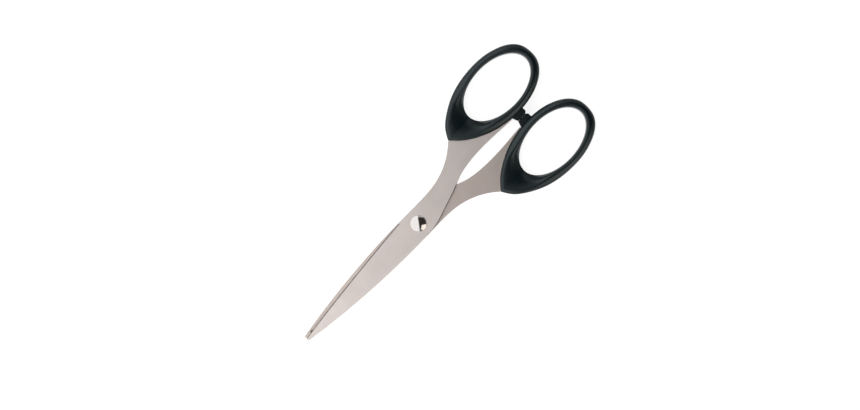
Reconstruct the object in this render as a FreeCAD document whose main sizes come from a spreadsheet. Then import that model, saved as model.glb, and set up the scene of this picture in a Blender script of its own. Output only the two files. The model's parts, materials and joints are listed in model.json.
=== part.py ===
import FreeCAD, Part
import math
import os
import Sketcher

# Office scissors, 170 mm long, with a riveted pivot and moulded finger loops.
#
# The two halves are the same design: the back half is the front half turned over about
# the X axis.  So every piece of a half is drawn once, in the frame of its own half, with
# the origin on the pivot axis and halfway between the blades, +X towards the finger loops
# and +Z towards the outer face of that half.  The front half has its loop on the +Y side.

Vector = FreeCAD.Vector
Rotation = FreeCAD.Rotation

# Driving dimensions in millimetres: the alias of the cell, its value and what it is.
DIMENSIONS = (
    ("tip_reach", 75.5, "from the pivot axis to the blade tips"),
    ("loop_reach", 94.5, "from the pivot axis to the far end of the finger loops"),
    ("blade_thickness", 1.8, "thickness of the steel plate"),
    ("blade_gap", 0.2, "between the inner faces of the blades, filled by the pivot washer"),
    ("taper_drop", 0.35, "how much thinner the blade is at its tip"),
    ("bevel_width", 0.45, "width of the steep cutting bevel, seen from above"),
    ("bevel_depth", 1.25, "depth of the cutting bevel"),
    ("hollow_depth", 0.2, "depth of the hollow ground into the inner face"),
    ("rivet_diameter", 4.0, "shank of the pivot rivet, tight in the back blade"),
    ("running_bore", 4.1, "bore of the front blade, which turns on the rivet"),
    ("head_diameter", 7.5, "domed head of the rivet"),
    ("head_rim", 0.25, "height of the rim below the dome"),
    ("head_dome", 1.2, "height of the dome above the rim"),
    ("head_clearance", 0.04, "play under the rivet head"),
    ("tail_diameter", 5.6, "peened tail of the rivet"),
    ("tail_height", 0.7, "height of the peened tail"),
    ("tail_washer_diameter", 7.6, "washer under the peened tail"),
    ("tail_washer_thickness", 0.5, "washer under the peened tail"),
    ("pivot_washer_diameter", 9.0, "thin washer between the blades"),
    ("pivot_washer_play", 0.03, "between that washer and the front blade"),
    ("lock_hole", 3.2, "hole in the tang that the moulded loop fills"),
    ("loop_half_height", 4.0, "half of the height of the finger loops"),
    ("hole_length", 38.3, "finger hole along X, at its narrowest"),
    ("hole_width", 23.1, "finger hole along Y, at its narrowest"),
    ("hole_start", 52.4, "from the pivot axis to the near end of the finger hole"),
    ("hole_offset", 18.2, "from the centre line to the middle of the finger hole"),
    ("scoop_shank", 5.7, "from the finger hole out to the crest, at the shank"),
    ("scoop_ring", 1.25, "from the finger hole out to the crest, round the ring"),
    ("land_width", 0.7, "flat land along the crest"),
    ("stop_half_height", 2.5, "half of the height of the stop buffers"),
    ("stop_gap", 0.1, "between the two stop buffers when the scissors are closed"),
    ("stop_root", 3.7, "from the centre line to the foot of a stop buffer"),
    ("stop_middle", 69.5, "from the pivot axis to the middle of the stop buffers"),
    ("stop_foot_half", 3.4, "half of the length of a stop buffer at its foot"),
    ("stop_tip_half", 2.4, "half of the length of a stop buffer at its tip"),
    ("stop_near_side", 1.0, "height of a stop buffer's upright side towards the pivot"),
    ("stop_far_corner", 0.9, "height of the sloping corner at a stop buffer's far side"),
    ("stem_diameter", 2.2, "stem that holds a stop buffer in its loop"),
    ("stem_length", 1.5, "stem that holds a stop buffer in its loop"),
)

# Share of the loop's half height that stands as an upright wall before the surface rounds
# over to the crest: high where the moulding covers the shank, low round the ring.
SHANK_WALL = 0.75
RING_WALL = 0.25
WALL_CHANGE = (40.0, 62.0)

# The same inside the finger hole: low where the scoop opens towards the shank, and high
# round the ring, up to the shoulder.
SCOOP_WALL = 0.15
SHOULDER = 0.62

# Heights of the sections of a loop, as shares of its half height.
SECTION_LEVELS = (0.25, 0.50, 0.70, 0.83, 0.93, 1.0)

# Outer outline of a loop, from the sharp corner on the shank round the ring and back.
LOOP_OUTLINE = (
    (37.6, 17.2), (42.0, 12.5), (48.0, 8.4), (55.0, 5.25), (63.0, 3.3), (71.0, 2.75),
    (79.0, 3.6), (86.0, 6.0), (91.4, 9.9), (94.0, 14.2), (94.5, 18.6), (93.4, 23.9),
    (90.0, 28.0), (84.0, 31.2), (77.0, 33.0), (70.0, 33.4), (62.0, 32.7), (54.0, 30.6),
    (46.0, 26.5), (40.5, 21.9), (37.6, 17.2),
)
FAR_END_POINT = 10

# Corners of the blade plate and points that its curved edges pass through.
HEEL = (0.0, -6.9)
SPINE_MIDDLE = (-37.5, -5.8)
SPINE_END = (-74.6, -1.5)
EDGE_END = (-74.8, 0.15)
EDGE_MIDDLE = (-40.0, 3.95)
EDGE_START = (-6.4, 6.6)
NOTCH = (-6.0, 6.85)
SHANK_OUTSIDE = (NOTCH, (10.0, 6.85), (20.0, 7.85), (28.0, 10.6), (33.0, 13.5), (37.6, 17.2))
TANG_OUTSIDE = (
    (37.6, 17.2), (41.0, 19.3), (45.0, 20.0), (48.2, 18.0), (50.0, 14.0), (54.0, 10.2),
    (60.0, 6.9), (65.8, 4.6),
)
SHANK_INSIDE = (
    (65.8, 2.5), (57.0, 3.1), (48.0, 3.5), (38.0, 3.1), (30.0, 1.65), (24.0, -0.6),
    (16.0, -3.2), (9.0, -5.4), (4.0, -6.6), HEEL,
)
LOCK_HOLE_CENTRE = (44.3, 16.0)

# The hollow grind: distance from the pivot, middle, half width and share of full depth.
HOLLOW_SECTIONS = ((-12.0, -0.4, 4.8, 1.0), (-72.0, -0.7, 0.5, 0.15))
TAPER_START = -9.0

# How far the cutter of the bevel goes on above and below its slope, as a share of it, and
# how far every cutter reaches past the steel, in millimetres.
BEVEL_MARGIN = 0.2
CUTTER_MARGIN = 2.0

# Every step of a piece has to change it by at least this volume, in cubic millimetres.
LEAST_CHANGE = 0.5


def make_sheet(document):
    """Put the driving dimensions into a spreadsheet, one row each, with an alias."""
    sheet = document.addObject("Spreadsheet::Sheet", "dims")
    for row, (alias, value, meaning) in enumerate(DIMENSIONS, start=1):
        sheet.set(f"A{row}", meaning)
        sheet.set(f"B{row}", str(value))
        sheet.setAlias(f"B{row}", alias)
    document.recompute()
    return sheet


document = FreeCAD.newDocument("office_scissors")
sheet = make_sheet(document)


def size(alias):
    """A driving dimension, for the outlines that are drawn from points."""
    return float(sheet.get(alias))


def point(place):
    return Vector(place[0], place[1], 0)


# ---------------------------------------------------------------- sketches and placing

def new_body(name, half):
    """A body in the frame of the front or the back half, placed in the frame of the whole."""
    body = document.addObject("PartDesign::Body", name)
    body.Label = name
    if half == "back":
        body.Placement = FreeCAD.Placement(Vector(), Rotation(Vector(1, 0, 0), 180))
    body.setExpression(".Placement.Base.x", "(dims.tip_reach - dims.loop_reach) / 2")
    body.setExpression(".Placement.Base.z", "dims.loop_half_height")
    return body


def new_sketch(body, name, role="XY_Plane", offset=None):
    """A sketch on an origin plane of its body, moved along the plane's normal by offset."""
    plane = next(item for item in body.Origin.OriginFeatures if item.Role == role)
    sketch = body.newObject("Sketcher::SketchObject", f"{body.Name}_{name}")
    sketch.AttachmentSupport = [(plane, "")]
    sketch.MapMode = "FlatFace"
    if offset:
        sketch.setExpression(".AttachmentOffset.Base.z", offset)
    return sketch


def new_feature(body, kind, name, sketch, **expressions):
    """A PartDesign feature of a sketch, with its sizes bound to the sheet."""
    feature = body.newObject(f"PartDesign::{kind}", f"{body.Name}_{name}")
    feature.Profile = sketch
    for property_name, expression in expressions.items():
        feature.setExpression(property_name, expression)
    return feature


def add_line(sketch, start, end):
    sketch.addGeometry(Part.LineSegment(point(start), point(end)), False)


def add_polygon(sketch, corners):
    for start, end in zip(corners, corners[1:] + corners[:1]):
        add_line(sketch, start, end)


def add_arc(sketch, start, middle, end):
    sketch.addGeometry(Part.Arc(point(start), point(middle), point(end)), False)


def add_spline(sketch, places):
    curve = Part.BSplineCurve()
    curve.interpolate([point(place) for place in places])
    sketch.addGeometry(curve, False)


def add_circle(sketch, centre, diameter):
    """A circle whose diameter is an expression of the sheet."""
    rough = Part.Circle(point(centre), Vector(0, 0, 1), 1.0)
    circle = sketch.addGeometry(rough, False)
    constraint = sketch.addConstraint(Sketcher.Constraint("Diameter", circle, 2 * rough.Radius))
    for axis, distance in (("DistanceX", centre[0]), ("DistanceY", centre[1])):
        sketch.addConstraint(Sketcher.Constraint(axis, -1, 1, circle, 3, distance))
    sketch.setExpression(f"Constraints[{constraint}]", diameter)


# ------------------------------------------------------------------------- the blades

def draw_blade_plate(sketch, bore):
    """Outline of a whole blank: blade, shank and tang, with its two holes."""
    tip = (-size("tip_reach"), (SPINE_END[1] + EDGE_END[1]) / 2)
    add_arc(sketch, HEEL, SPINE_MIDDLE, SPINE_END)
    add_arc(sketch, SPINE_END, tip, EDGE_END)
    add_arc(sketch, EDGE_END, EDGE_MIDDLE, EDGE_START)
    add_line(sketch, EDGE_START, NOTCH)
    add_spline(sketch, SHANK_OUTSIDE)
    add_spline(sketch, TANG_OUTSIDE)
    add_line(sketch, TANG_OUTSIDE[-1], SHANK_INSIDE[0])
    add_spline(sketch, SHANK_INSIDE)
    add_circle(sketch, (0, 0), bore)
    add_circle(sketch, LOCK_HOLE_CENTRE, "dims.lock_hole")


def draw_hollow_section(sketch, middle, half_width, depth_share):
    """A shallow arc in the inner face, closed well below that face."""
    face = size("blade_gap") / 2
    below = face - size("blade_gap")
    depth = size("hollow_depth") * depth_share
    left = middle - half_width
    right = middle + half_width
    add_arc(sketch, (left, face), (middle, face + depth), (right, face))
    add_line(sketch, (right, face), (right, below))
    add_line(sketch, (right, below), (left, below))
    add_line(sketch, (left, below), (left, face))


def draw_bevel_section(sketch, inward):
    """Everything outside the cutting edge, with the edge moved inwards."""
    end, middle, start = [(x, y - inward) for x, y in (EDGE_END, EDGE_MIDDLE, EDGE_START)]
    past_tip = (-size("tip_reach") - CUTTER_MARGIN, end[1])
    clear = start[1] + CUTTER_MARGIN
    add_arc(sketch, end, middle, start)
    add_line(sketch, start, (start[0], clear))
    add_line(sketch, (start[0], clear), (past_tip[0], clear))
    add_line(sketch, (past_tip[0], clear), past_tip)
    add_line(sketch, past_tip, end)


def make_blade(name, half, bore):
    """A stamped blank, taper ground to the tip, hollow ground inside and bevelled."""
    body = new_body(name, half)
    outline = new_sketch(body, "outline", offset="dims.blade_gap / 2")
    draw_blade_plate(outline, bore)
    new_feature(body, "Pad", "plate", outline, Length="dims.blade_thickness")

    outer_face = size("blade_gap") / 2 + size("blade_thickness")
    past_tip = -size("tip_reach") - CUTTER_MARGIN
    wedge = new_sketch(body, "wedge", "XZ_Plane")
    add_polygon(wedge, [
        (TAPER_START, outer_face),
        (TAPER_START, outer_face + CUTTER_MARGIN),
        (past_tip, outer_face + CUTTER_MARGIN),
        (past_tip, outer_face - size("taper_drop")),
    ])
    taper = new_feature(body, "Pocket", "taper", wedge)
    taper.Type = "ThroughAll"
    taper.SideType = "Symmetric"

    sections = []
    for place, middle, half_width, depth_share in HOLLOW_SECTIONS:
        section = new_sketch(body, f"hollow_{len(sections)}", "YZ_Plane", str(place))
        draw_hollow_section(section, middle, half_width, depth_share)
        sections.append(section)
    hollow = new_feature(body, "SubtractiveLoft", "hollow", sections[0])
    hollow.Sections = sections[1:]
    hollow.Ruled = True

    cuts = []
    for beyond in (1.0 + BEVEL_MARGIN, -BEVEL_MARGIN):
        height = f"dims.blade_gap / 2 + dims.blade_thickness - dims.bevel_depth * {1.0 - beyond}"
        cut = new_sketch(body, f"bevel_{len(cuts)}", offset=height)
        draw_bevel_section(cut, size("bevel_width") * beyond)
        cuts.append(cut)
    bevel = new_feature(body, "SubtractiveLoft", "bevel", cuts[0])
    bevel.Sections = cuts[1:]
    bevel.Ruled = True
    document.recompute()
    return body


# -------------------------------------------------------------------- the finger loops

def hole_ellipse():
    """Centre and half axes of the finger hole at its narrowest."""
    half_length = size("hole_length") / 2
    centre = (size("hole_start") + half_length, size("hole_offset"))
    return centre, half_length, size("hole_width") / 2


def crest_ellipse(shift):
    """Centre and half axes of the crest line, moved outwards by shift."""
    centre, half_length, half_width = hole_ellipse()
    near_end = centre[0] - half_length - size("scoop_shank")
    far_end = centre[0] + half_length + size("scoop_ring")
    middle = ((near_end + far_end) / 2, centre[1])
    return middle, (far_end - near_end) / 2 + shift, half_width + size("scoop_ring") + shift


def shoulder_ellipse():
    """Centre and half axes of the opening at the shoulder: wider than the finger hole only
    towards the shank, where the scoop has come part of its way out."""
    centre, half_length, half_width = hole_ellipse()
    come = size("scoop_shank") * (SHOULDER - SCOOP_WALL) / (1.0 - SCOOP_WALL)
    return (centre[0] - come / 2, centre[1]), half_length + come / 2, half_width


def wall_share(x):
    """Share of the half height that is an upright wall, at a distance x from the pivot."""
    start, end = WALL_CHANGE
    along = min(1.0, max(0.0, (x - start) / (end - start)))
    return RING_WALL + (SHANK_WALL - RING_WALL) * (1.0 - along) ** 2


def section_place(place, level):
    """Where a point of the outer outline lies in the section at a level: drawn in towards
    the crest along the ray to the crest's centre, by a quarter ellipse above the wall."""
    centre, half_length, half_width = crest_ellipse(size("land_width") / 2)
    dx = place[0] - centre[0]
    dy = place[1] - centre[1]
    crest = 1.0 / math.hypot(dx / half_length, dy / half_width)
    wall = wall_share(place[0])
    climb = max(0.0, (level - wall) / (1.0 - wall))
    reach = crest + (1.0 - crest) * math.sqrt(1.0 - climb ** 2)
    return (centre[0] + dx * reach, centre[1] + dy * reach)


def draw_loop_section(sketch, level):
    """Outline of the loop at a level: one smooth curve, in two halves that meet at the
    far end of the ring and at the sharp corner on the shank."""
    places = [section_place(place, level) for place in LOOP_OUTLINE]
    along = [0.0]
    for start, end in zip(LOOP_OUTLINE, LOOP_OUTLINE[1:]):
        along.append(along[-1] + math.dist(start, end))
    outline = Part.BSplineCurve()
    outline.interpolate(Points=[point(place) for place in places], Parameters=along)
    far_end = along[FAR_END_POINT]
    for start, end in ((along[0], far_end), (far_end, along[-1])):
        half = outline.copy()
        half.segment(start, end)
        sketch.addGeometry(half, False)


def add_ellipse(sketch, ellipse):
    (x, y), half_length, half_width = ellipse
    sketch.addGeometry(Part.Ellipse(Vector(x, y, 0), half_length, half_width), False)


def draw_stop_outline(sketch):
    """Plan of a stop buffer: a block that narrows from its foot to its tip."""
    middle = size("stop_middle")
    tip = size("stop_gap") / 2
    root = size("stop_root")
    foot_half = size("stop_foot_half")
    tip_half = size("stop_tip_half")
    add_polygon(sketch, [
        (middle - foot_half, root),
        (middle - foot_half, root - size("stop_near_side")),
        (middle - tip_half, tip),
        (middle + tip_half, tip),
        (middle + foot_half, tip + size("stop_far_corner")),
        (middle + foot_half, root),
    ])


def make_loop(name, half):
    """A finger loop, moulded on the tang, with a scooped hole and a stop's socket."""
    body = new_body(name, half)
    levels = [-level for level in reversed(SECTION_LEVELS)] + list(SECTION_LEVELS)
    sections = []
    for level in levels:
        height = f"dims.loop_half_height * {level}"
        section = new_sketch(body, f"section_{len(sections)}", offset=height)
        draw_loop_section(section, abs(level))
        sections.append(section)
    shell = new_feature(body, "AdditiveLoft", "shell", sections[0])
    shell.Sections = sections[1:]

    widest = crest_ellipse(-size("land_width") / 2)
    upper = ((SCOOP_WALL, hole_ellipse()), (SHOULDER, shoulder_ellipse()), (1, widest))
    lower = tuple((-level, ellipse) for level, ellipse in reversed(upper))
    rings = []
    for level, ellipse in lower + upper:
        height = f"dims.loop_half_height * {level}"
        ring = new_sketch(body, f"hole_{len(rings)}", offset=height)
        add_ellipse(ring, ellipse)
        rings.append(ring)
    hole = new_feature(body, "SubtractiveLoft", "hole", rings[0])
    hole.Sections = rings[1:]
    hole.Ruled = True

    tang = new_sketch(body, "tang", offset="dims.blade_gap / 2")
    draw_blade_plate(tang, "dims.running_bore")
    slot = new_feature(body, "Pocket", "tang_slot", tang, Length="dims.blade_thickness")
    slot.Reversed = True

    foot = new_sketch(body, "stop_foot")
    draw_stop_outline(foot)
    socket = new_feature(body, "Pocket", "stop_socket", foot, Length="dims.stop_half_height * 2")
    socket.SideType = "Symmetric"

    stem = new_sketch(body, "stem", "XZ_Plane", "-dims.stop_root")
    add_circle(stem, (size("stop_middle"), 0), "dims.stem_diameter")
    new_feature(body, "Pocket", "stem_socket", stem, Length="dims.stem_length")
    document.recompute()
    return body


def make_stop(name, half):
    """A rubber stop buffer, with the stem that its loop grips."""
    body = new_body(name, half)
    block = new_sketch(body, "block")
    draw_stop_outline(block)
    pad = new_feature(body, "Pad", "buffer", block, Length="dims.stop_half_height * 2")
    pad.SideType = "Symmetric"
    stem = new_sketch(body, "stem", "XZ_Plane", "-dims.stop_root")
    add_circle(stem, (size("stop_middle"), 0), "dims.stem_diameter")
    plug = new_feature(body, "Pad", "plug", stem, Length="dims.stem_length")
    plug.Reversed = True
    document.recompute()
    return body


# -------------------------------------------------------------------------- the pivot

def make_rivet():
    """The pivot rivet: a polished dome on the front, a peened tail on the back washer."""
    body = new_body("pivot_rivet", "front")
    shank = size("rivet_diameter") / 2
    head = size("head_diameter") / 2
    tail = size("tail_diameter") / 2
    outer_face = size("blade_gap") / 2 + size("blade_thickness")
    seat = outer_face + size("head_clearance")
    rim = seat + size("head_rim")
    crown = rim + size("head_dome")
    tail_seat = -outer_face - size("tail_washer_thickness")
    tail_end = tail_seat - size("tail_height")

    profile = new_sketch(body, "profile", "XZ_Plane")
    add_line(profile, (0, crown), (0, tail_end))
    add_arc(profile, (0, tail_end), dome_place(tail, tail_seat, tail_end), (tail, tail_seat))
    add_line(profile, (tail, tail_seat), (shank, tail_seat))
    add_line(profile, (shank, tail_seat), (shank, seat))
    add_line(profile, (shank, seat), (head, seat))
    add_line(profile, (head, seat), (head, rim))
    add_arc(profile, (head, rim), dome_place(head, rim, crown), (0, crown))
    turned = new_feature(body, "Revolution", "turned", profile)
    turned.ReferenceAxis = (profile, ["V_Axis"])
    turned.Angle = 360
    document.recompute()
    return body


def dome_place(radius, edge, top):
    """A point halfway out on the spherical cap with this rim radius, rim and top."""
    rise = abs(top - edge)
    sphere = (radius ** 2 + rise ** 2) / (2 * rise)
    out = radius / 2
    fall = sphere - math.sqrt(sphere ** 2 - out ** 2)
    return (out, top - math.copysign(fall, top - edge))


def make_washer(name, diameter, bore, thickness, bottom):
    """A flat washer on the pivot axis; every size is an expression of the sheet."""
    body = new_body(name, "front")
    ring = new_sketch(body, "ring", offset=bottom)
    add_circle(ring, (0, 0), diameter)
    add_circle(ring, (0, 0), bore)
    new_feature(body, "Pad", "disc", ring, Length=thickness)
    document.recompute()
    return body


def check(pieces):
    """Stop if an object of the document failed or a piece isn't one valid solid."""
    for item in document.Objects:
        if "Invalid" in item.State or "Error" in item.State:
            raise RuntimeError(f"{item.Name} failed: {item.State}")
    for piece in pieces:
        shape = piece.Shape
        if shape.isNull() or not shape.isValid() or len(shape.Solids) != 1:
            raise RuntimeError(f"{piece.Label} isn't one valid solid")
        steps = [item for item in piece.Group if item.isDerivedFrom("PartDesign::Feature")]
        for before, after in zip(steps, steps[1:]):
            if abs(after.Shape.Volume - before.Shape.Volume) < LEAST_CHANGE:
                raise RuntimeError(f"{after.Name} of {piece.Label} changed nothing")
        print(f"{piece.Label}: {shape.Volume:.1f} mm3")


tail_washer_bottom = "-dims.blade_gap / 2 - dims.blade_thickness - dims.tail_washer_thickness"
pieces = [
    make_blade("front_blade", "front", "dims.running_bore"),
    make_blade("back_blade", "back", "dims.rivet_diameter"),
    make_rivet(),
    make_washer("rivet_tail_washer", "dims.tail_washer_diameter", "dims.rivet_diameter",
                "dims.tail_washer_thickness", tail_washer_bottom),
    make_washer("pivot_washer", "dims.pivot_washer_diameter", "dims.rivet_diameter",
                "dims.blade_gap - dims.pivot_washer_play", "-dims.blade_gap / 2"),
    make_loop("front_bow", "front"),
    make_loop("back_bow", "back"),
    make_stop("front_stop_buffer", "front"),
    make_stop("back_stop_buffer", "back"),
]
document.recompute()
check(pieces)

os.makedirs("parts", exist_ok=True)
for piece in pieces:
    piece.Shape.exportStep(f"parts/{piece.Label}.step")
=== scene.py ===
"""Office scissors: the looks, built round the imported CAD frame.

Each half of the scissors is drawn in its own frame, in millimetres, as it is in the CAD
source: the origin is on the pivot axis halfway between the blades, +X runs towards the
finger loops and +Z towards the outer face of that half. The back half is the front half
turned over about the X axis.
"""

import json
import math

import bmesh
import bpy
import numpy as np
from mathutils import Matrix, Quaternion, Vector


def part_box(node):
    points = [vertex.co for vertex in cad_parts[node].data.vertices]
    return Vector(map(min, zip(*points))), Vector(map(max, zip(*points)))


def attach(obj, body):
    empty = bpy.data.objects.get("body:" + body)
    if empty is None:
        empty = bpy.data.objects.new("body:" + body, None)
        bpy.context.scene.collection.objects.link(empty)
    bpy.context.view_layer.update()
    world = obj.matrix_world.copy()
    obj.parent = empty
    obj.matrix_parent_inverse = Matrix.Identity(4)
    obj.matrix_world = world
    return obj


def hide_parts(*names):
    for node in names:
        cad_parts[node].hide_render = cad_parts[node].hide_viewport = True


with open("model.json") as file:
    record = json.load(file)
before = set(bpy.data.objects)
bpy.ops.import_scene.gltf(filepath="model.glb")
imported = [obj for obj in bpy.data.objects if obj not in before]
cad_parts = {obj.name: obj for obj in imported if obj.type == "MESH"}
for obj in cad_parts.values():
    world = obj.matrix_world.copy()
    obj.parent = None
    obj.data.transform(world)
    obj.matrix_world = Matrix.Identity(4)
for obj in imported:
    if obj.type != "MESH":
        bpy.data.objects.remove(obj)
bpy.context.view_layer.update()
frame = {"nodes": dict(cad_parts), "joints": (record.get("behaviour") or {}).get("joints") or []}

MM = 0.001
PIVOT = Vector(frame["joints"][0]["pos_m"])

# ---------------------------------------------------------------- sizes, in millimetres

# Outer outline of a loop, from the sharp corner on the shank round the ring and back.
LOOP_OUTLINE = (
    (37.6, 17.2), (42.0, 12.5), (48.0, 8.4), (55.0, 5.25), (63.0, 3.3), (71.0, 2.75),
    (79.0, 3.6), (86.0, 6.0), (91.4, 9.9), (94.0, 14.2), (94.5, 18.6), (93.4, 23.9),
    (90.0, 28.0), (84.0, 31.2), (77.0, 33.0), (70.0, 33.4), (62.0, 32.7), (54.0, 30.6),
    (46.0, 26.5), (40.5, 21.9), (37.6, 17.2),
)

# The finger hole, an ellipse along the scissors: its size, where it starts and how far its
# middle is off the long axis.
HOLE_LENGTH = 38.3
HOLE_WIDTH = 23.1
HOLE_START = 52.4
HOLE_OFFSET = 18.2
HOLE_MIDDLE = np.array((HOLE_START + HOLE_LENGTH / 2, HOLE_OFFSET))

# The crest runs round the finger hole: close to the hole round the ring, and close to the
# outer edge where the moulding widens into the scooped nose.  A narrow flat land tops it.
CREST_FROM_HOLE = 1.25
CREST_FROM_EDGE = 2.0
LAND_WIDTH = 0.55

# The loop is all ring where the moulding is narrower than the first of these widths, and
# all scoop where it is wider than the second.
SCOOP_BAND = (4.0, 8.5)

loop_low, loop_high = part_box("front_bow")
LOOP_HALF_HEIGHT = (loop_high.z - loop_low.z) / 2 / MM

# Heights where the upright walls end, as shares of the loop's half height: the finger
# hole's wall in the scoop and round the ring, then the outer wall at the shank and round
# the ring, and the distances from the pivot between which the outer one changes.
SCOOP_WALL = 0.15
SHOULDER = 0.62
SHANK_WALL = 0.75
RING_WALL = 0.52
WALL_CHANGE = (40.0, 62.0)

# Roundness of the scoop's slope and of the loop's edges; a larger power is fuller.
SCOOP_POWER = 2.5
EDGE_POWER = 1.55

# Where the loop's rings of places lie: up the finger hole's wall, from that wall in to the
# land, and from the land out to the outer wall, closest together where the skin bends most.
HOLE_WALL_SHARES = (0.0, 0.5, 0.85)
INNER_SHARES = (0.0, 0.03, 0.08, 0.15, 0.24, 0.34, 0.44, 0.54, 0.64, 0.74, 0.83, 0.91, 0.96, 1.0)
OUTER_SHARES = (0.0, 0.06, 0.14, 0.24, 0.35, 0.46, 0.57, 0.67, 0.76, 0.84, 0.91, 0.96, 0.99, 1.0)

# Places round the loop, how far they crowd towards its corner, and how far from the corner
# its rounding reaches.
LOOP_STEPS = 288
NOSE_CROWDING = 0.88
NOSE_ROUNDING = 0.55

# Half the width of the mould's parting line, and how far it stands proud.
SEAM_WIDTH = 0.10
SEAM_HEIGHT = 0.04

# A stop from above: x from the middle of its length, y from the line where the stops meet.
STOP_PLAN = ((-3.4, 3.7), (-3.4, 2.7), (-2.4, 0.01), (2.4, 0.01), (3.4, 0.91), (3.4, 3.7))
STOP_MIDDLE = 69.5
STOP_HALF_HEIGHT = 2.5
STOP_ROUNDING = 0.3

# The rivet: radii of its shank, head and tail, the upright rim of its head and the ease
# under that rim, and the heights where head and tail sit.
RIVET_SHANK = 2.0
RIVET_HEAD = 3.75
RIVET_TAIL = 2.8
RIVET_RIM = 0.25
RIVET_EASE = 0.12
HEAD_SEAT = 1.94
TAIL_SEAT = -2.4

# Distances from the pivot between which the shanks cross, and the ease of their edges
# there.
CROSSING = (0.9, 23.4)
CROSSING_EASE = 0.3

# The finishes of a blade in the order of its material slots.  A face's finish follows from
# how far its normal leans outwards, from -1 to 1.
FINISHES = ("outer", "inner", "bevel", "side", "eased")
INNER_LEAN = -0.5
SIDE_LEAN = 0.1
OUTER_LEAN = 0.97

# How near two corners of a CAD mesh are when they are one, in metres, and how little two
# of its triangles bend when they are one face.
SAME_PLACE = 1e-6
SAME_PLANE = math.radians(0.5)


# ------------------------------------------------------------------------ mesh helpers

def new_piece(name, mesh, material, body):
    """An object of the scissors that rides on a CAD body."""
    mesh.materials.append(material)
    piece = bpy.data.objects.new(name, mesh)
    bpy.context.scene.collection.objects.link(piece)
    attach(piece, body)
    return piece


def to_row(place, half):
    """A place in the frame of a half, in millimetres, as a place in the row frame."""
    x, y, z = place
    if half == "back":
        y, z = -y, -z
    return PIVOT + Vector((x, y, z)) * MM


def mesh_from_grid(name, rows, half, sharp_degrees):
    """A closed skin over rows of places, each row a ring and the rows a ring too."""
    shape = bmesh.new()
    grid = [[shape.verts.new(to_row(place, half)) for place in row] for row in rows]
    for row, following in zip(grid, grid[1:] + grid[:1]):
        for step in range(len(row)):
            after = (step + 1) % len(row)
            shape.faces.new((row[step], row[after], following[after], following[step]))
    return finish_mesh(name, shape, sharp_degrees)


def mesh_from_profile(name, profile, half, segments, sharp_degrees):
    """A turned shape about the pivot axis, from a profile of (radius, height)."""
    shape = bmesh.new()
    rings = []
    for radius, height in profile:
        if radius == 0:
            rings.append([shape.verts.new(to_row((0, 0, height), half))])
            continue
        turns = [2 * math.pi * step / segments for step in range(segments)]
        places = [(radius * math.cos(turn), radius * math.sin(turn), height) for turn in turns]
        rings.append([shape.verts.new(to_row(place, half)) for place in places])
    for ring, following in zip(rings, rings[1:]):
        for step in range(segments):
            after = (step + 1) % segments
            corners = [ring[step % len(ring)], ring[after % len(ring)],
                       following[after % len(following)], following[step % len(following)]]
            shape.faces.new(list(dict.fromkeys(corners)))
    return finish_mesh(name, shape, sharp_degrees)


def finish_mesh(name, shape, sharp_degrees):
    """A smooth mesh from a finished shape, with its edges sharp past an angle."""
    bmesh.ops.recalc_face_normals(shape, faces=shape.faces)
    for face in shape.faces:
        face.smooth = True
    mesh = bpy.data.meshes.new(name)
    shape.to_mesh(mesh)
    shape.free()
    mesh.set_sharp_from_angle(angle=math.radians(sharp_degrees))
    return mesh


def spline_through(points, along):
    """Natural cubic spline through points, at shares of its chord length from 0 to 1."""
    points = np.array(points, float)
    knots = np.concatenate([[0], np.cumsum(np.linalg.norm(np.diff(points, axis=0), axis=1))])
    knots /= knots[-1]
    steps = np.diff(knots)
    count = len(points)
    system = np.eye(count)
    target = np.zeros_like(points)
    for i in range(1, count - 1):
        system[i, i - 1:i + 2] = steps[i - 1], 2 * (steps[i - 1] + steps[i]), steps[i]
        slope_in = (points[i] - points[i - 1]) / steps[i - 1]
        slope_out = (points[i + 1] - points[i]) / steps[i]
        target[i] = 6 * (slope_out - slope_in)
    bend = np.linalg.solve(system, target)
    span = np.clip(np.searchsorted(knots, along, side="right") - 1, 0, count - 2)
    width = steps[span][:, None]
    before = ((knots[span + 1] - along)[:, None]) / width
    after = 1 - before
    line = before * points[span] + after * points[span + 1]
    cubic = (before ** 3 - before) * bend[span] + (after ** 3 - after) * bend[span + 1]
    return line + cubic * width ** 2 / 6


# ------------------------------------------------------------------------ node helpers

def new_material(name, base_color, metallic, roughness):
    """A material, its node tree and its Principled shader."""
    material = bpy.data.materials.new(name)
    material.use_nodes = True
    shader = material.node_tree.nodes["Principled BSDF"]
    shader.inputs["Base Color"].default_value = (*base_color, 1)
    shader.inputs["Metallic"].default_value = metallic
    shader.inputs["Roughness"].default_value = roughness
    return material, material.node_tree, shader


def add_node(tree, kind, **values):
    """A node with some of its input sockets set."""
    node = tree.nodes.new(kind)
    for socket, value in values.items():
        node.inputs[socket.replace("_", " ")].default_value = value
    return node


def surface_noise(tree, scale, detail, roughness=0.5):
    """Noise in the object's own coordinates; scale is in cycles per metre along X, Y, Z."""
    place = tree.nodes.new("ShaderNodeTexCoord")
    stretch = add_node(tree, "ShaderNodeMapping", Scale=scale)
    noise = add_node(tree, "ShaderNodeTexNoise", Scale=1.0, Detail=detail, Roughness=roughness)
    tree.links.new(place.outputs["Object"], stretch.inputs["Vector"])
    tree.links.new(stretch.outputs["Vector"], noise.inputs["Vector"])
    return noise.outputs["Fac"]


def spread(tree, value, low, high):
    """Spread a noise value, mostly between 0.3 and 0.7, between low and high."""
    change = add_node(tree, "ShaderNodeMapRange", From_Min=0.3, From_Max=0.7,
                      To_Min=low, To_Max=high)
    tree.links.new(value, change.inputs["Value"])
    return change.outputs["Result"]


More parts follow.
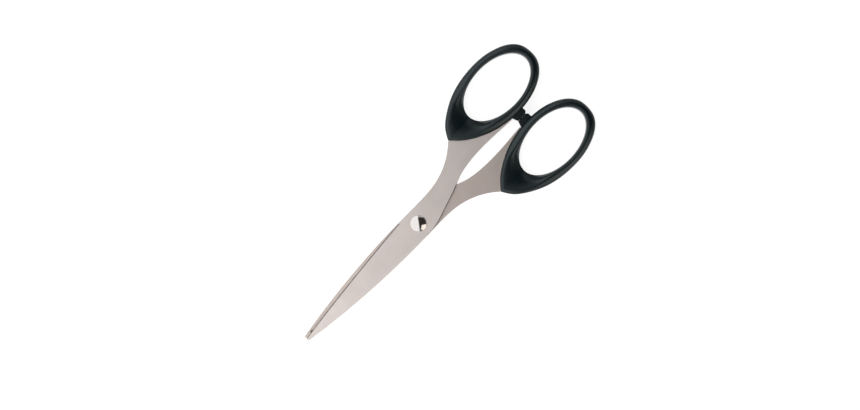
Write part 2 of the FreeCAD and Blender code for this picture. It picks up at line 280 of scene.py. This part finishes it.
def mix_colors(tree, factor, first, second):
    """A colour that goes from the first to the second as the factor goes from 0 to 1."""
    mix = tree.nodes.new("ShaderNodeMix")
    mix.data_type = "RGBA"
    mix.inputs["A"].default_value = (*first, 1)
    mix.inputs["B"].default_value = (*second, 1)
    tree.links.new(factor, mix.inputs["Factor"])
    return mix.outputs["Result"]


def add_bump(tree, shader, layers):
    """Bumps from (height value, depth in metres) layers, one on top of the other."""
    normal = None
    for value, depth in layers:
        bump = add_node(tree, "ShaderNodeBump", Strength=1.0, Distance=depth)
        tree.links.new(value, bump.inputs["Height"])
        if normal:
            tree.links.new(normal, bump.inputs["Normal"])
        normal = bump.outputs["Normal"]
    tree.links.new(normal, shader.inputs["Normal"])


# --------------------------------------------------------------------------- materials

def ground_steel(name, tone, roughness):
    """Satin stainless steel with fine grinding lines across the blade and faint clouds."""
    material, tree, shader = new_material(name, tone, 1.0, roughness)
    lines = surface_noise(tree, (7000, 90, 90), 3)
    clouds = surface_noise(tree, (70, 110, 110), 2)
    light = [channel * 1.04 for channel in tone]
    dark = [channel * 0.96 for channel in tone]
    color = mix_colors(tree, spread(tree, clouds, 0, 1), light, dark)
    tree.links.new(color, shader.inputs["Base Color"])
    tree.links.new(spread(tree, lines, roughness - 0.05, roughness + 0.05),
                   shader.inputs["Roughness"])
    add_bump(tree, shader, [(lines, 1.2e-6)])
    return material


def blade_finishes():
    """The finishes of a blade: its outer face, its hollow-ground inner face in a darker tone of the
    same steel as painted shade, the steep cutting bevel painted near black as painted shade, the
    sheared side of the blank darkened as painted shade and the eased edge where the shanks cross
    darkened as a painted shadow."""
    return {
        "outer": ground_steel("blade_steel", (0.636, 0.576, 0.55), 0.37),
        # Painted shade: the inner face is the same steel as the outer one, given a darker tone for
        # how the light falls on it.
        "inner": ground_steel("shaded_inner_steel", (0.58, 0.505, 0.468), 0.37),
        # Painted shade: the cutting bevel is the same ground steel, painted near black for the dark
        # surroundings its steep faces reflect.
        "bevel": ground_steel("shaded_bevel_steel", (0.10, 0.092, 0.09), 0.30),
        # The sheared side of the blank is rougher; its dark colour is painted shade, so that the
        # other shank reflects a dark line beside it.
        "side": ground_steel("shaded_side_steel", (0.20, 0.18, 0.17), 0.48),
        # Painted shadow: the eased edge where the shanks cross is darkened to stand in for the
        # contact shadow between the two shanks.
        "eased": ground_steel("painted_shadow_eased_steel", (0.17, 0.153, 0.147), 0.36),
    }


def polished_steel():
    """The mirror-polished rivet, with a few hairline scuffs."""
    material, tree, shader = new_material("polished_steel", (0.58, 0.555, 0.545), 1.0, 0.12)
    scuffs = surface_noise(tree, (2500, 900, 900), 4, 0.7)
    tree.links.new(spread(tree, scuffs, 0.09, 0.15), shader.inputs["Roughness"])
    return material


def washer_metal(name, color, roughness):
    """Plain rolled sheet metal for a washer."""
    material, tree, shader = new_material(name, color, 1.0, roughness)
    grain = surface_noise(tree, (500, 6000, 6000), 2)
    tree.links.new(spread(tree, grain, roughness - 0.06, roughness + 0.08),
                   shader.inputs["Roughness"])
    return material


def loop_plastic():
    """Satin black moulded plastic with a fine spark-eroded grain."""
    material, tree, shader = new_material("loop_plastic", (0.0008, 0.0052, 0.0072), 0.0, 0.30)
    shader.inputs["Specular Tint"].default_value = (0.86, 0.98, 1.0, 1)
    grain = surface_noise(tree, (5200, 5200, 5200), 2)
    handling = surface_noise(tree, (160, 160, 160), 3)
    tone = mix_colors(tree, spread(tree, handling, 0, 1),
                      (0.0007, 0.0046, 0.0064), (0.0010, 0.0058, 0.0080))
    tree.links.new(tone, shader.inputs["Base Color"])
    tree.links.new(spread(tree, handling, 0.28, 0.34), shader.inputs["Roughness"])
    add_bump(tree, shader, [(grain, 4.0e-6)])
    return material


def stop_rubber():
    """Matte black rubber."""
    material, tree, shader = new_material("stop_rubber", (0.002, 0.003, 0.0035), 0.0, 0.62)
    shader.inputs["Specular IOR Level"].default_value = 0.25
    shader.inputs["Specular Tint"].default_value = (0.76, 0.95, 1.0, 1)
    grain = surface_noise(tree, (3500, 3500, 3500), 3)
    tree.links.new(spread(tree, grain, 0.55, 0.72), shader.inputs["Roughness"])
    add_bump(tree, shader, [(grain, 8.0e-6)])
    return material


# ------------------------------------------------------------------------------ pieces

def loop_outline():
    """Places along the outer outline, closest together at the corner, which is eased."""
    share = np.linspace(0, 1, LOOP_STEPS, endpoint=False)
    along = share - NOSE_CROWDING * np.sin(2 * np.pi * share) / (2 * np.pi)
    places = spline_through(LOOP_OUTLINE, along)
    corner = places[0].copy()
    from_corner = np.linalg.norm(places[:LOOP_STEPS // 2] - corner, axis=1)
    reach = int(np.sum(from_corner < NOSE_ROUNDING))
    start = places[-reach].copy()
    end = places[reach].copy()
    for step in range(-reach + 1, reach):
        part = (step + reach) / (2 * reach)
        places[step] = (1 - part) ** 2 * start + 2 * part * (1 - part) * corner + part ** 2 * end
    return places


def hole_wall(outer):
    """The place on the finger hole's wall that faces each place of the outer outline."""
    reach = (HOLE_LENGTH / 2, HOLE_WIDTH / 2)
    away = (outer - HOLE_MIDDLE) / reach
    away /= np.linalg.norm(away, axis=1)[:, None]
    return HOLE_MIDDLE + away * reach


def between(first, second, share):
    """The value at a share of the way from the first to the second."""
    return first + (second - first) * share


def find_land(hole, outer):
    """Both edges of the flat land along the crest, and how much each place of it belongs
    to the scoop, from 0 to 1."""
    band = np.linalg.norm(outer - hole, axis=1)
    start, end = SCOOP_BAND
    share = np.clip((band - start) / (end - start), 0, 1)
    scoop = share * share * (3 - 2 * share)
    crest = between(CREST_FROM_HOLE, band - CREST_FROM_EDGE, scoop)
    in_share = (crest - LAND_WIDTH / 2) / band
    out_share = (crest + LAND_WIDTH / 2) / band
    land_in = between(hole, outer, in_share[:, None])
    land_out = between(hole, outer, out_share[:, None])
    return land_in, land_out, scoop


def inner_rings(hole, land, scoop):
    """Rings from the middle of the finger hole's wall up to the land: a rounded shoulder
    round the ring, which turns into the long hollow slope of the scoop."""
    wall = LOOP_HALF_HEIGHT * between(SHOULDER, SCOOP_WALL, scoop)
    rings = [(hole, wall * share) for share in HOLE_WALL_SHARES]
    for share in INNER_SHARES:
        shoulder = (1 - (1 - share) ** EDGE_POWER) ** (1 / EDGE_POWER)
        slope = 1 - (1 - share) ** SCOOP_POWER
        height = between(wall, LOOP_HALF_HEIGHT, between(shoulder, slope, scoop))
        rings.append((between(hole, land, share), height))
    return rings


def outer_rings(outer, land):
    """Rings from the land down to the middle of the outer wall, over a rounded edge."""
    start, end = WALL_CHANGE
    past = np.clip((outer[:, 0] - start) / (end - start), 0, 1)
    wall = LOOP_HALF_HEIGHT * between(RING_WALL, SHANK_WALL, (1 - past) ** 2)
    rings = []
    for share in OUTER_SHARES:
        climb = (1 - share ** EDGE_POWER) ** (1 / EDGE_POWER)
        height = between(wall, LOOP_HALF_HEIGHT, climb)
        rings.append((between(land, outer, share), height))
    rings.append((outer, wall * 0.5))
    rings.append((outer, np.full(len(outer), SEAM_WIDTH)))
    return rings


def seam_ring(outer):
    """The parting line of the mould: a slight ridge halfway up the outer wall."""
    away = outer - HOLE_MIDDLE
    away /= np.linalg.norm(away, axis=1)[:, None]
    return outer + away * SEAM_HEIGHT, np.zeros(len(outer))


def make_loop(name, half, node, material):
    """A finger loop: scooped hole, crest, rounded outside and mould parting line."""
    outer = loop_outline()
    hole = hole_wall(outer)
    land_in, land_out, scoop = find_land(hole, outer)
    upper = inner_rings(hole, land_in, scoop) + outer_rings(outer, land_out)
    lower = [(places, -heights) for places, heights in reversed(upper[1:])]
    rings = upper + [seam_ring(outer)] + lower
    rows = [[(x, y, z) for (x, y), z in zip(places, heights)] for places, heights in rings]
    mesh = mesh_from_grid(name, rows, half, sharp_degrees=50)
    piece = new_piece(name, mesh, material, f"{half}_half")
    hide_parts(node)


def make_stop(name, half, node, material):
    """A rubber stop block with softened edges."""
    shape = bmesh.new()
    corners = [(STOP_MIDDLE + x, y, -STOP_HALF_HEIGHT) for x, y in STOP_PLAN]
    base = shape.faces.new([shape.verts.new(to_row(corner, half)) for corner in corners])
    grown = bmesh.ops.extrude_face_region(shape, geom=[base])
    lift = to_row((0, 0, 2 * STOP_HALF_HEIGHT), half) - to_row((0, 0, 0), half)
    moved = [item for item in grown["geom"] if isinstance(item, bmesh.types.BMVert)]
    bmesh.ops.translate(shape, verts=moved, vec=lift)
    bmesh.ops.bevel(shape, geom=shape.edges[:], offset=STOP_ROUNDING * MM, segments=4,
                    profile=0.5, affect="EDGES", clamp_overlap=True)
    mesh = finish_mesh(name, shape, sharp_degrees=60)
    piece = new_piece(name, mesh, material, f"{half}_half")
    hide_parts(node)


def dome(radius, edge, top, steps):
    """(radius, height) places over a spherical cap, from its rim to its top."""
    rise = abs(top - edge)
    sphere = (radius ** 2 + rise ** 2) / (2 * rise)
    side = math.copysign(1, top - edge)
    widest = math.asin(radius / sphere)
    places = []
    for step in range(steps + 1):
        angle = widest * (1 - step / steps)
        fall = sphere * (1 - math.cos(angle))
        places.append((sphere * math.sin(angle), top - side * fall))
    places[-1] = (0, top)
    return places


def make_rivet(name, node, material):
    """The pivot rivet, fixed in the back half, with its polished dome over the front one."""
    low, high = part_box(node)
    crown = (high.z - PIVOT.z) / MM
    tail_end = (low.z - PIVOT.z) / MM
    head = dome(RIVET_HEAD, HEAD_SEAT + RIVET_RIM, crown, steps=18)
    tail = dome(RIVET_TAIL, TAIL_SEAT, tail_end, steps=10)
    rim = [
        (RIVET_SHANK, HEAD_SEAT),
        (RIVET_HEAD - RIVET_EASE, HEAD_SEAT),
        (RIVET_HEAD, HEAD_SEAT + RIVET_EASE),
    ]
    profile = list(reversed(tail)) + [(RIVET_SHANK, TAIL_SEAT)] + rim + head
    mesh = mesh_from_profile(name, profile, "front", segments=96, sharp_degrees=40)
    piece = new_piece(name, mesh, material, "back_half")
    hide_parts(node)


def is_crossing_edge(edge, outward):
    """Whether an edge of a blade is on the outer face, along the inside of the shank, where
    it passes over the other shank."""
    if len(edge.link_faces) != 2:
        return False
    wall, face = sorted(edge.link_faces, key=lambda side: side.normal.z * outward)
    start, end = CROSSING
    along = ((edge.verts[0].co + edge.verts[1].co) / 2 - PIVOT).x / MM
    inside = wall.normal.y * outward < 0 and abs(wall.normal.z) < SIDE_LEAN
    return start < along < end and inside and face.normal.z * outward > OUTER_LEAN


def find_finish(face, outward):
    """Which of its blade's finishes a face has."""
    lean = face.normal.z * outward
    if lean < INNER_LEAN:
        return "inner"
    if lean < SIDE_LEAN:
        return "side"
    if lean > OUTER_LEAN:
        return "outer"
    return "bevel" if face.calc_center_median().x < PIVOT.x else "eased"


def make_blade(name, half, node, finishes):
    """A CAD blade with an eased edge where its shank passes over the other one, and each of its
    faces with the finish for the way that it looks, some of them darkened as painted shade."""
    outward = 1 if half == "front" else -1
    shape = bmesh.new()
    shape.from_mesh(frame["nodes"][node].data)
    bmesh.ops.remove_doubles(shape, verts=shape.verts[:], dist=SAME_PLACE)
    bmesh.ops.dissolve_limit(shape, angle_limit=SAME_PLANE, verts=shape.verts[:],
                             edges=shape.edges[:])
    rims = [edge for edge in shape.edges if is_crossing_edge(edge, outward)]
    bmesh.ops.bevel(shape, geom=rims, offset=CROSSING_EASE * MM, segments=4, profile=0.5,
                    affect="EDGES", clamp_overlap=False)
    for face in shape.faces:
        face.material_index = FINISHES.index(find_finish(face, outward))
    mesh = finish_mesh(name, shape, sharp_degrees=26)
    # The outer face is flat, so no shading should bend across it.
    for face in mesh.polygons:
        face.use_smooth = face.material_index != FINISHES.index("outer")
    piece = new_piece(name, mesh, finishes["outer"], f"{half}_half")
    for finish in FINISHES[1:]:
        mesh.materials.append(finishes[finish])
    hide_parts(node)


def finish_node(node, material):
    """Put a material on a node of the frame."""
    mesh = frame["nodes"][node].data
    mesh.materials.clear()
    mesh.materials.append(material)


# ------------------------------------------------------------------- stage and camera

# How wide the camera's view is and its middle, in metres, how far it is rolled, and its
# lens and sensor, in millimetres.
VIEW_WIDTH = 0.4039
VIEW_CENTRE = Vector((0.00045, 0.0022, PIVOT.z))
VIEW_ROLL = math.radians(-45.8)
LENS = 100.0
SENSOR = 36.0

# Strength of the room's light low on its walls and overhead, the sines of the heights above
# the horizon between which it changes, and the strength of the backdrop the camera sees.
ROOM_LIGHT = (0.45, 0.04)
ROOM_HEIGHTS = (0.05, 0.55)
BACKDROP = 0.93


def in_studio(right, up, towards):
    """A direction given as the camera sees it, in the row frame."""
    return Matrix.Rotation(VIEW_ROLL, 3, "Z") @ Vector((right, up, towards))


def make_camera():
    """Straight down on the scissors with a long lens, rolled so that they lie aslant."""
    data = bpy.data.cameras.new("camera")
    data.lens = LENS
    data.sensor_width = SENSOR
    camera = bpy.data.objects.new("camera", data)
    distance = VIEW_WIDTH * LENS / SENSOR
    camera.location = VIEW_CENTRE + Vector((0, 0, distance))
    camera.rotation_euler = (0, 0, VIEW_ROLL)
    bpy.context.scene.collection.objects.link(camera)
    bpy.context.scene.camera = camera


def make_floor():
    """A plain white table top that glows, so that shadows on it stay faint."""
    bpy.ops.mesh.primitive_circle_add(vertices=96, radius=4, fill_type="NGON")
    floor = bpy.context.object
    floor.name = "floor"
    material, _, shader = new_material("floor_paper", (0.30, 0.30, 0.30), 0.0, 0.9)
    shader.inputs["Specular IOR Level"].default_value = 0.0
    shader.inputs["Emission Color"].default_value = (1, 1, 1, 1)
    shader.inputs["Emission Strength"].default_value = 0.88
    floor.data.materials.append(material)


def make_world():
    """A dark room round the softboxes, lighter towards its walls."""
    world = bpy.data.worlds.new("studio")
    world.use_nodes = True
    bpy.context.scene.world = world
    tree = world.node_tree
    background = tree.nodes["Background"]
    background.inputs["Color"].default_value = (1.0, 0.93, 0.90, 1)
    place = tree.nodes.new("ShaderNodeTexCoord")
    split = tree.nodes.new("ShaderNodeSeparateXYZ")
    tree.links.new(place.outputs["Generated"], split.inputs["Vector"])
    light = add_node(tree, "ShaderNodeMapRange", From_Min=ROOM_HEIGHTS[0], From_Max=ROOM_HEIGHTS[1],
                     To_Min=ROOM_LIGHT[0], To_Max=ROOM_LIGHT[1])
    tree.links.new(split.outputs["Z"], light.inputs["Value"])
    seen = tree.nodes.new("ShaderNodeLightPath")
    choice = tree.nodes.new("ShaderNodeMix")
    choice.data_type = "FLOAT"
    choice.inputs["B"].default_value = BACKDROP
    tree.links.new(seen.outputs["Is Camera Ray"], choice.inputs["Factor"])
    tree.links.new(light.outputs["Result"], choice.inputs["A"])
    tree.links.new(choice.outputs["Result"], background.inputs["Strength"])


def make_softbox(name, place, aim, width, height, radiance, turn=0, color=(1, 1, 1)):
    """A rectangular softbox, unseen by the camera.  Its place, in metres from what the
    camera looks at, and its aim are given as the camera sees them, and it is turned about
    its aim by some degrees."""
    data = bpy.data.lights.new(name, "AREA")
    data.shape = "RECTANGLE"
    data.size = width
    data.size_y = height
    data.energy = radiance * width * height * math.pi
    data.color = color
    light = bpy.data.objects.new(name, data)
    light.location = VIEW_CENTRE + in_studio(*place)
    aimed = Vector((0, 0, -1)).rotation_difference(Vector(aim))
    spun = Quaternion((0, 0, 1), math.radians(turn))
    light.rotation_mode = "QUATERNION"
    light.rotation_quaternion = Quaternion((0, 0, 1), VIEW_ROLL) @ aimed @ spun
    light.visible_camera = False
    bpy.context.scene.collection.objects.link(light)


make_camera()
make_floor()
make_world()
make_softbox("ceiling_softbox", place=(-1.20, 0.0, 0.70), aim=(0, 0, -1), turn=8,
             width=2.4, height=4.0, radiance=1.44)
make_softbox("side_softbox", place=(0.68, -0.50, 0.55), aim=(-0.68, 0.50, -0.55),
             width=0.76, height=0.76, radiance=1.6, color=(1, 0.93, 0.85))
make_softbox("back_strip", place=(0.24, 0.96, 0.52), aim=(-0.24, -0.96, -0.52),
             width=0.8, height=0.26, radiance=0.6)
bpy.context.scene.view_settings.view_transform = "Standard"

finishes = blade_finishes()
plastic = loop_plastic()
rubber = stop_rubber()
for half in ("front", "back"):
    make_blade(f"{half}_steel", half, f"{half}_blade", finishes)
    make_loop(f"{half}_loop", half, f"{half}_bow", plastic)
    make_stop(f"{half}_stop", half, f"{half}_stop_buffer", rubber)
make_rivet("rivet", "pivot_rivet", polished_steel())
finish_node("rivet_tail_washer", washer_metal("washer_steel", (0.55, 0.55, 0.56), 0.30))
finish_node("pivot_washer", washer_metal("washer_brass", (0.72, 0.56, 0.30), 0.28))
